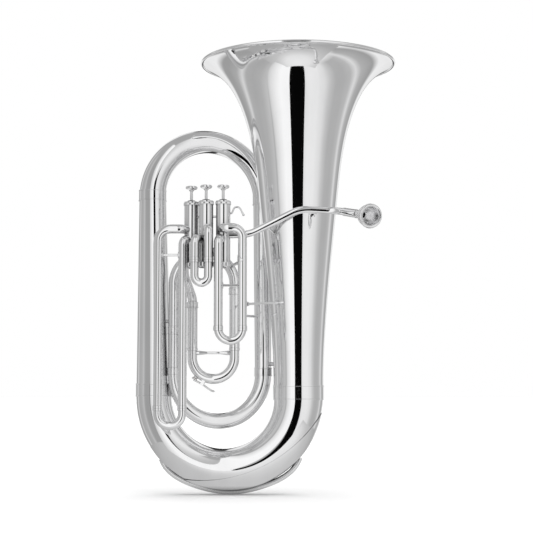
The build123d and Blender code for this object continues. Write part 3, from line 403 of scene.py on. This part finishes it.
def pearl_material():
    """Mother of pearl: pale, cloudy, under a clear glossy coat."""
    material, tree, shader = new_material("pearl", (0.85, 0.84, 0.82), 0.0, 0.25)
    clouds = noise(tree, 180, 3, (1, 0.4, 1))
    tree.links.new(tint(tree, clouds, (0.72, 0.74, 0.76), (0.93, 0.91, 0.88)), shader.inputs["Base Color"])
    shader.inputs["Coat Weight"].default_value = 0.8
    shader.inputs["Coat Roughness"].default_value = 0.05
    return material


MATERIALS = {
    "silver_plate": silver_material("silver_plate"),
    "piston_nickel": steel_material("piston_nickel", (0.66, 0.64, 0.6), 0.12, 0.3),
    "spring_steel": steel_material("spring_steel", (0.55, 0.55, 0.57), 0.2, 0.4),
    "rim_wire_brass": steel_material("rim_wire_brass", (0.78, 0.6, 0.3), 0.2, 0.4),
    "grey_felt": felt_material(),
    "cork": cork_material(),
    "pearl": pearl_material(),
}
# The fittings' silver has painted shade: its colour darkens in corners and between parts.
FITTING_SILVER = silver_material("silver_fittings", painted_shade=True)
MOUTHPIECE_SILVER = silver_material("silver_mouthpiece", polish=MOUTHPIECE_POLISH)


def node_material(node, slot):
    """A node's material: the fittings carry painted shade in their corners, the mouthpiece is satin."""
    if node == "mouthpiece":
        return MOUTHPIECE_SILVER
    if slot == "silver_plate":
        return FITTING_SILVER
    return MATERIALS[slot]


def dress_nodes():
    """Every CAD node takes its material."""
    for part in frame["record"]["subparts"]:
        mesh = NODES[part["node"]].data
        mesh.materials.clear()
        mesh.materials.append(node_material(part["node"], part["material_slot"]))


# ---- Large tubes ------------------------------------------------------------
def silver_piece(name, built, *nodes, smooth_angle=40):
    """A silver piece of the instrument that stands for CAD nodes."""
    piece = add_mesh(name, *built, "instrument", MATERIALS["silver_plate"], "silver_plate", smooth_angle)
    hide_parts(*nodes)


def half_turn(centre, across, up, bend, radius_at, steps=96):
    """Sections of a bend from centre + across, by way of centre + up, to centre - across."""
    sections = []
    for step in range(steps + 1):
        share = step / steps
        spoke = across * math.cos(math.pi * share) + up * math.sin(math.pi * share)
        sections.append((centre + spoke * bend, spoke, across.cross(up), radius_at(share)))
    return sections


def level(centre, radius, across=Vector((1, 0, 0)), aside=Vector((0, 1, 0))):
    """One level section of an upright tube."""
    return centre, across, aside, radius


def bell_piece():
    """The whole bell and its rolled bead, as one closed wall. Profile points are (radius, height)."""
    middle = axis_of(BELL_NODES[0])
    low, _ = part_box(BELL_NODES[0])
    _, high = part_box(BELL_NODES[-1])
    rim = high.x - middle.x
    outer = smooth_curve(BELL_OUTLINE, BELL_FOOT_HEADING, BELL_RIM_HEADING, BELL_SPAN_STEPS)
    heading = np.gradient(outer, axis=0)
    heading /= np.linalg.norm(heading, axis=1)[:, None]
    inner = outer + np.stack([-heading[:, 1], heading[:, 0]], axis=1) * MAIN_WALL
    bead = np.array([rim - BEAD_RADIUS, high.z - BEAD_RADIUS + BEAD_FLAT])
    outer = outer[np.linalg.norm(outer - bead, axis=1) > BEAD_RADIUS]
    inner = inner[np.linalg.norm(inner - bead, axis=1) > BEAD_RADIUS]
    start = math.atan2(*(outer[-1] - bead)[::-1])
    end = math.atan2(*(inner[-1] - bead)[::-1])
    start = start - 2 * math.pi if start > 0 else start
    end = end + 2 * math.pi if end < start + math.pi else end
    profile = [(outer[0][0], low.z), *outer]
    for step in range(BEAD_STEPS + 1):
        angle = start + (end - start) * step / BEAD_STEPS
        spot = bead + BEAD_RADIUS * np.array([math.cos(angle), math.sin(angle)])
        profile.append((spot[0], min(spot[1], high.z)))
    profile += [*inner[::-1], (inner[0][0], low.z)]
    built = turned(profile, Vector((middle.x, middle.y, 0)), BELL_SEGMENTS)
    silver_piece("bell_wall", built, *BELL_NODES, smooth_angle=60)


def bottom_bow_piece():
    """Largest bend, from the bell on the right down to the outer branch on the left."""
    right, big = mouth("bottom_bow", 1, True)
    left, small = mouth("bottom_bow", -1, True)
    centre = Vector(((right.x + left.x) / 2, 0, right.z - BOW_STUB))
    bend = (right.x - left.x) / 2

    def radius_at(share):
        return small + (big - small) * (1 - share) ** BOW_TAPER_POWER

    sections = [level(right, big)]
    sections += half_turn(centre, Vector((1, 0, 0)), DOWN, bend, radius_at)
    sections.append(level(left, small, across=Vector((-1, 0, 0))))
    silver_piece("bottom_bow_tube", tube_walls(sections, MAIN_WALL), "bottom_bow")


def outer_branch_piece():
    """Straight tube on the left, widening downward."""
    foot, foot_radius = mouth("outer_branch", 0, False)
    head, head_radius = mouth("outer_branch", 0, True)
    steps = 8
    sections = []
    for step in range(steps + 1):
        share = step / steps
        sections.append(level(foot.lerp(head, share), foot_radius + (head_radius - foot_radius) * share))
    silver_piece("outer_branch_tube", tube_walls(sections, MAIN_WALL), "outer_branch")


def top_bow_piece():
    """Bend at the top, from the outer branch to the inner branch."""
    left, big = mouth("top_bow", -1, False)
    right, small = mouth("top_bow", 1, False)
    span = left - right
    sections = half_turn((left + right) / 2, span.normalized(), UP, span.length / 2,
                         lambda share: big - (big - small) * share)
    silver_piece("top_bow_tube", tube_walls(sections, MAIN_WALL), "top_bow")


def inner_branch_piece():
    """Tube beside the bell, leaning back on its way up."""
    foot, foot_radius = mouth("inner_branch", 0, False)
    head, head_radius = mouth("inner_branch", 0, True)
    span = head - foot
    steps = 48
    sections = []
    for step in range(steps + 1):
        share = step / steps
        ease = share * share * (3 - 2 * share)
        centre = foot + Vector((span.x * share, span.y * ease, span.z * share))
        sections.append(level(centre, foot_radius + (head_radius - foot_radius) * share))
    silver_piece("inner_branch_tube", tube_walls(sections, TUBE_WALL), "inner_branch")


def inner_bow_piece():
    """Bend under the inner branch, tilted in depth."""
    right, big = mouth("inner_bow", 1, True)
    left, small = mouth("inner_bow", -1, True)
    span = right - left
    across = span.normalized()
    centre = (left + right) / 2 + DOWN * INNER_STUB
    aside = across.cross(DOWN)
    sections = [level(right, big, across, aside)]
    sections += half_turn(centre, across, DOWN, span.length / 2,
                          lambda share: big - (big - small) * share * share)
    sections.append(level(left, small, -across, aside))
    silver_piece("inner_bow_tube", tube_walls(sections, TUBE_WALL), "inner_bow")


def large_tubes():
    bell_piece()
    bottom_bow_piece()
    outer_branch_piece()
    top_bow_piece()
    inner_branch_piece()
    inner_bow_piece()


# ---- Valve details --------------------------------------------------------------
def spun_solid(profile, centre, segments):
    """Solid of revolution whose (radius, height) profile starts and ends on the axis."""
    points = [centre + Vector((0, 0, profile[0][1])), centre + Vector((0, 0, profile[-1][1]))]
    rings = profile[1:-1]
    for radius, height in rings:
        points += ring_round(centre, radius, height, segments)
    faces = []
    top = 2 + (len(rings) - 1) * segments
    for j in range(segments):
        k = (j + 1) % segments
        faces.append((0, 2 + k, 2 + j))
        faces.append((1, top + j, top + k))
        for i in range(len(rings) - 1):
            a = 2 + i * segments
            b = a + segments
            faces.append((a + j, a + k, b + k, b + j))
    return points, faces


def button_inlay(number):
    """Domed disc of pearl set in a button's cup."""
    low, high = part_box(f"valve_button_{number}")
    radius = (high.x - low.x) / 2 - BUTTON_LIP
    centre = Vector(((low.x + high.x) / 2, (low.y + high.y) / 2, high.z))
    profile = [(0, -INLAY_DEPTH), (radius - INLAY_CHAMFER, -INLAY_DEPTH),
               (radius, -INLAY_DEPTH + INLAY_CHAMFER)]
    steps = 10
    for step in range(steps):
        share = step / steps
        rise = INLAY_DOME * (1 - (1 - share) ** 2)
        profile.append((radius * (1 - share), -INLAY_DOME - INLAY_SINK + rise))
    profile.append((0, -INLAY_SINK))
    built = spun_solid(profile, centre, INLAY_SEGMENTS)
    pearl = MATERIALS["pearl"]
    add_mesh(f"button_inlay_{number}", *built, f"valve_{number}", pearl, "pearl", smooth_angle=30)


def valve_spring(joint):
    """Coil under a piston, made to the height of the spring node it stands for; this mesh itself has a fixed
    length.
    """
    node = joint["deforming_nodes"][0]["node"]
    low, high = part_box(node)
    centre = (low + high) / 2
    coil = (high.x - low.x) / 2 - SPRING_WIRE
    height = high.z - low.z - 2 * SPRING_WIRE
    start = low.z + SPRING_WIRE
    steps = SPRING_TURNS * SPRING_STEPS
    rings = []
    for step in range(steps + 1):
        angle = 2 * math.pi * SPRING_TURNS * step / steps
        out = Vector((math.cos(angle), math.sin(angle), 0))
        spot = Vector((centre.x, centre.y, start + height * step / steps)) + out * coil
        ring = []
        for j in range(WIRE_SEGMENTS):
            turn = 2 * math.pi * j / WIRE_SEGMENTS
            ring.append(spot + (out * math.cos(turn) + UP * math.sin(turn)) * SPRING_WIRE)
        rings.append(ring)
    points, faces = loop_grid(rings)
    faces = faces[:-WIRE_SEGMENTS]
    faces.append(tuple(range(WIRE_SEGMENTS)))
    faces.append(tuple(reversed(range(len(points) - WIRE_SEGMENTS, len(points)))))
    spring = add_mesh(f"{node}_coil", points, faces, "instrument", MATERIALS["spring_steel"], "spring_steel")
    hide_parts(node)
    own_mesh(spring)


def knurled_band(name, centre, radius, low, high):
    """Coin-edged grip round a cap."""
    count = KNURL_TEETH * 2
    rings = []
    for reach, height in ((0, low), (KNURL_DEPTH, low + KNURL_DEPTH), (KNURL_DEPTH, high - KNURL_DEPTH),
                          (0, high), (-2 * KNURL_DEPTH, high), (-2 * KNURL_DEPTH, low)):
        ring = []
        for j in range(count):
            angle = 2 * math.pi * j / count
            tooth = radius + (reach if j % 2 or reach < 0 else 0)
            out = Vector((tooth * math.cos(angle), tooth * math.sin(angle), 0))
            ring.append(Vector((centre.x + out.x, centre.y + out.y, height)))
        rings.append(ring)
    silver = MATERIALS["silver_plate"]
    add_mesh(name, *loop_grid(rings), "instrument", silver, "silver_plate", smooth_angle=20)


def valve_details():
    """Springs under the pistons, inlays in the buttons and grips round the caps."""
    for joint in frame["joints"]:
        if joint["name"].startswith("valve_"):
            valve_spring(joint)
    cap_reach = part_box("valve_top_caps")[1].x - axis_of("valve_casing_1").x
    for number in (1, 2, 3):
        button_inlay(number)
        centre = axis_of(f"valve_casing_{number}")
        for place, margins in (("top", TOP_GRIP), ("bottom", BOTTOM_GRIP)):
            low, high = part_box(f"valve_{place}_caps")
            knurled_band(f"valve_{place}_cap_grip_{number}", centre, cap_reach,
                         low.z + margins[0], high.z - margins[1])


# ---- Studio -------------------------------------------------------------------
def make_camera():
    """Camera at the photograph's viewing angle."""
    data = bpy.data.cameras.new("camera")
    data.lens = CAMERA_LENS
    data.sensor_width = CAMERA_SENSOR
    camera = bpy.data.objects.new("camera", data)
    camera.location = CAMERA_PLACE
    camera.rotation_euler = (CAMERA_PITCH, 0, 0)
    bpy.context.scene.collection.objects.link(camera)
    bpy.context.scene.camera = camera


def stage_plane(name, corners, colour, glow):
    """A flat staged panel: its own colour, and a glow that doesn't depend on the lights."""
    mesh = bpy.data.meshes.new(name)
    mesh.from_pydata(corners, [], [tuple(range(len(corners)))])
    panel = bpy.data.objects.new(name, mesh)
    bpy.context.scene.collection.objects.link(panel)
    material, tree, shader = new_material(name, (colour, colour, colour), 0.0, 0.9)
    shader.inputs["Specular IOR Level"].default_value = 0
    shader.inputs["Emission Color"].default_value = (1, 1, 1, 1)
    shader.inputs["Emission Strength"].default_value = glow
    mesh.materials.append(material)
    return panel


def make_floor():
    """Wide pale floor. The metal sees the table card in its place."""
    corners = [(-FLOOR_REACH, -FLOOR_REACH, 0), (FLOOR_REACH, -FLOOR_REACH, 0),
               (FLOOR_REACH, FLOOR_REACH, 0), (-FLOOR_REACH, FLOOR_REACH, 0)]
    floor = stage_plane("floor", corners, FLOOR_GREY, FLOOR_GLOW)
    floor.visible_glossy = False
    floor.visible_diffuse = False


def stage_card(name, corners):
    """A glowing card that shows only in the polished metal: its node tree and its texture place."""
    card = stage_plane(name, corners, 0, 1)
    card.visible_camera = False
    card.visible_diffuse = False
    card.visible_shadow = False
    tree = card.data.materials[0].node_tree
    return tree, tree.nodes.new("ShaderNodeTexCoord")


def set_glow(tree, source, glow):
    """A card's light, by grey levels along a source."""
    colour = grey_ramp(tree, source, glow)
    tree.links.new(colour, tree.nodes["Principled BSDF"].inputs["Emission Color"])


def make_panel(name, left, right, heights, glow):
    """Upright studio screen. glow is its light from left to right."""
    low, high = heights
    corners = [(*left, low), (*right, low), (*right, high), (*left, high)]
    tree, place = stage_card(name, corners)
    across = tree.nodes.new("ShaderNodeSeparateXYZ")
    tree.links.new(place.outputs["Generated"], across.inputs[0])
    set_glow(tree, across.outputs[0], glow)


def make_table():
    """The pale surface as the metal sees it: it ends a little way in front of the instrument."""
    corners = [(TABLE_LEFT, TABLE_FRONT, TABLE_Z), (TABLE_RIGHT, TABLE_FRONT, TABLE_Z),
               (TABLE_RIGHT, TABLE_BACK, TABLE_Z), (TABLE_LEFT, TABLE_BACK, TABLE_Z)]
    tree, place = stage_card("table", corners)
    away = tree.nodes.new("ShaderNodeVectorMath")
    away.operation = "DISTANCE"
    away.inputs[1].default_value = TABLE_POOL
    tree.links.new(place.outputs["Object"], away.inputs[0])
    set_glow(tree, away.outputs["Value"], TABLE_GLOW)


def make_panels():
    """The camera looks between two screens: a near one slanted on the left, a far one on the right."""
    make_panel("left_screen", LEFT_SCREEN_NEAR, LEFT_SCREEN_FAR, LEFT_SCREEN_HEIGHTS, LEFT_SCREEN_GLOW)
    make_panel("right_screen", RIGHT_SCREEN_EDGE, RIGHT_SCREEN_END, RIGHT_SCREEN_HEIGHTS, RIGHT_SCREEN_GLOW)


def make_top_light():
    """Wide soft light overhead, for the floor, the felts and the cork."""
    data = bpy.data.lights.new("overhead", "SUN")
    data.energy = OVERHEAD_ENERGY
    data.angle = OVERHEAD_SPREAD
    light = bpy.data.objects.new("overhead", data)
    light.location = OVERHEAD_PLACE
    light.visible_glossy = False
    bpy.context.scene.collection.objects.link(light)


def math_node(tree, operation, first, second):
    """Arithmetic on numbers or node outputs."""
    node = tree.nodes.new("ShaderNodeMath")
    node.operation = operation
    for slot, value in enumerate((first, second)):
        if isinstance(value, (int, float)):
            node.inputs[slot].default_value = value
        else:
            tree.links.new(value, node.inputs[slot])
    return node.outputs[0]


def around(degrees):
    """Ramp position of a bearing, 0 straight in front and positive to the right."""
    return degrees / 360 + 0.5


def aloft(degrees):
    """Ramp position of an elevation."""
    return math.sin(math.radians(degrees)) / 2 + 0.5


def make_world():
    """Studio surroundings seen in the silver; the camera itself sees plain white."""
    world = bpy.data.worlds.new("studio")
    bpy.context.scene.world = world
    world.use_nodes = True
    tree = world.node_tree
    tree.nodes.clear()
    place = tree.nodes.new("ShaderNodeTexCoord")
    split = tree.nodes.new("ShaderNodeSeparateXYZ")
    tree.links.new(place.outputs["Generated"], split.inputs[0])
    x, y, z = split.outputs
    turn = math_node(tree, "ARCTAN2", x, math_node(tree, "MULTIPLY", y, -1))
    bearing = math_node(tree, "ADD", math_node(tree, "DIVIDE", turn, 2 * math.pi), 0.5)
    height = math_node(tree, "ADD", math_node(tree, "DIVIDE", z, 2), 0.5)
    screens = grey_ramp(tree, bearing, [(around(at), grey) for at, grey in ROUND_LIGHT])
    poles = grey_ramp(tree, height, POLE_GREYS)
    pole_share = grey_ramp(tree, height, [(aloft(at), share) for at, share in POLES])
    walls = mix_node(tree, "MIX", pole_share, screens, poles)
    for across, rise in ((GAP_BELOW_ACROSS, GAP_BELOW_ALOFT), (GAP_ABOVE_ACROSS, GAP_ABOVE_ALOFT)):
        dark_across = grey_ramp(tree, bearing, [(around(at), dark) for at, dark in across])
        dark_aloft = grey_ramp(tree, height, [(aloft(at), dark) for at, dark in rise])
        gap = math_node(tree, "MULTIPLY", dark_across, dark_aloft)
        walls = mix_node(tree, "MIX", gap, walls, (GAP_GREY, GAP_GREY, GAP_GREY, 1))
    paths = tree.nodes.new("ShaderNodeLightPath")
    seen = mix_node(tree, "MIX", paths.outputs["Is Camera Ray"], walls, (1, 1, 1, 1))
    background = tree.nodes.new("ShaderNodeBackground")
    output = tree.nodes.new("ShaderNodeOutputWorld")
    tree.links.new(seen, background.inputs["Color"])
    tree.links.new(background.outputs[0], output.inputs[0])


dress_nodes()
large_tubes()
valve_details()
make_camera()
make_floor()
make_table()
make_panels()
make_top_light()
make_world()
bpy.context.scene.view_settings.view_transform = "Standard"
